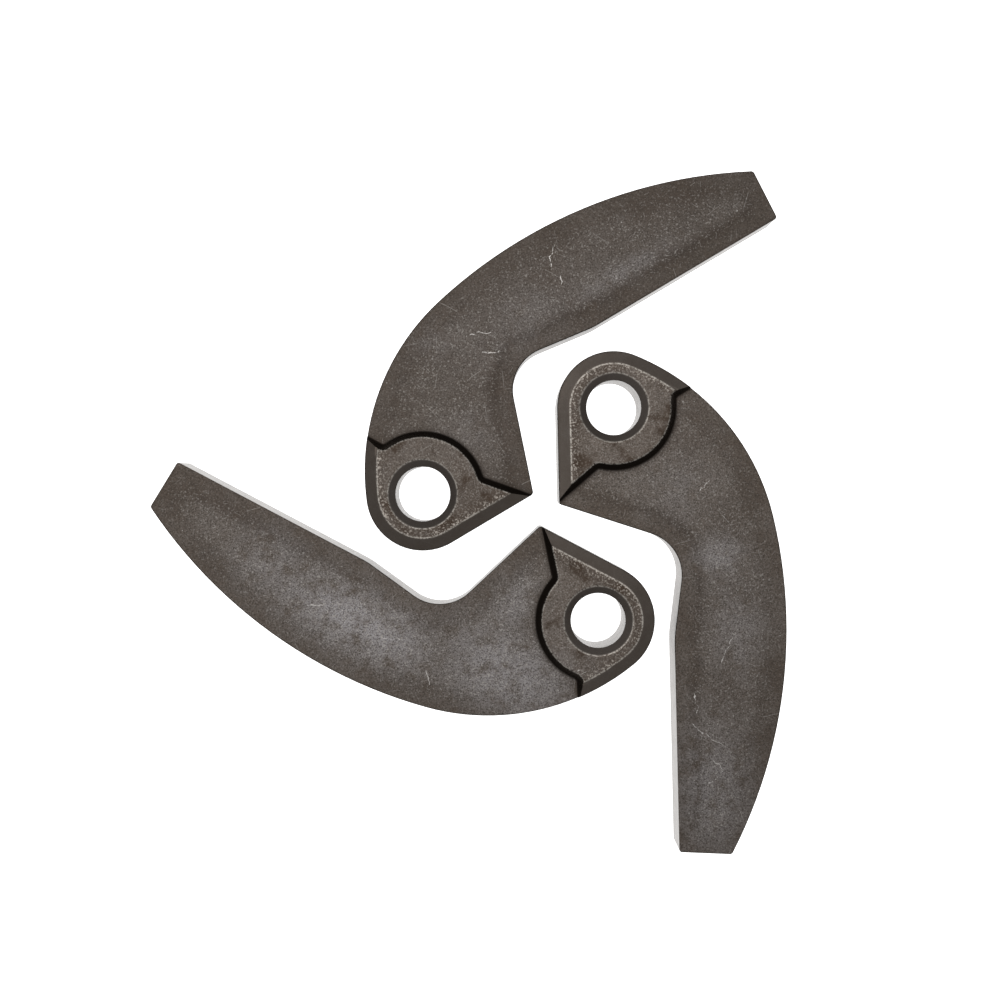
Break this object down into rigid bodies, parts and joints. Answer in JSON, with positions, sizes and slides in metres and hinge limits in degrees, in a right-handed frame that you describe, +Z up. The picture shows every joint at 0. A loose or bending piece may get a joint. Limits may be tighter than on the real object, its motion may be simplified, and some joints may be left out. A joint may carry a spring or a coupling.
{
  "type": "gripper jaw set",
  "caption": "Set of curved lever jaws, each with a raised bored pivot boss, a short heel and a straight inner grip edge, laid out round a centre like a pinwheel.",
  "frame": {"origin": "middle of the set's outline, on the plane of the lower boss faces", "axes": "+Z up along the pivot bores; +Y along the set's longest side"},
  "size_m": [0.093, 0.1, 0.0092],
  "materials": {
    "dark_steel": "dark oxide coat, satin, scuffed bright on the boss edges"
  },
  "bodies": {
    "jaw_1": {"jaw_1": "dark_steel"},
    "jaw_2": {"jaw_2": "dark_steel"},
    "jaw_3": {"jaw_3": "dark_steel"}
  },
  "joints": [
    {"name": "jaw_2_swing", "type": "hinge", "parent": "jaw_1", "child": "jaw_2", "pos_m": [0.01886, -0.01571, 0.0046], "axis": [0, 0, 1], "range_deg": [-3, 25]},
    {"name": "jaw_3_swing", "type": "hinge", "parent": "jaw_1", "child": "jaw_3", "pos_m": [0.02113, 0.01534, 0.0046], "axis": [0, 0, 1], "range_deg": [-3, 25]}
  ]
}
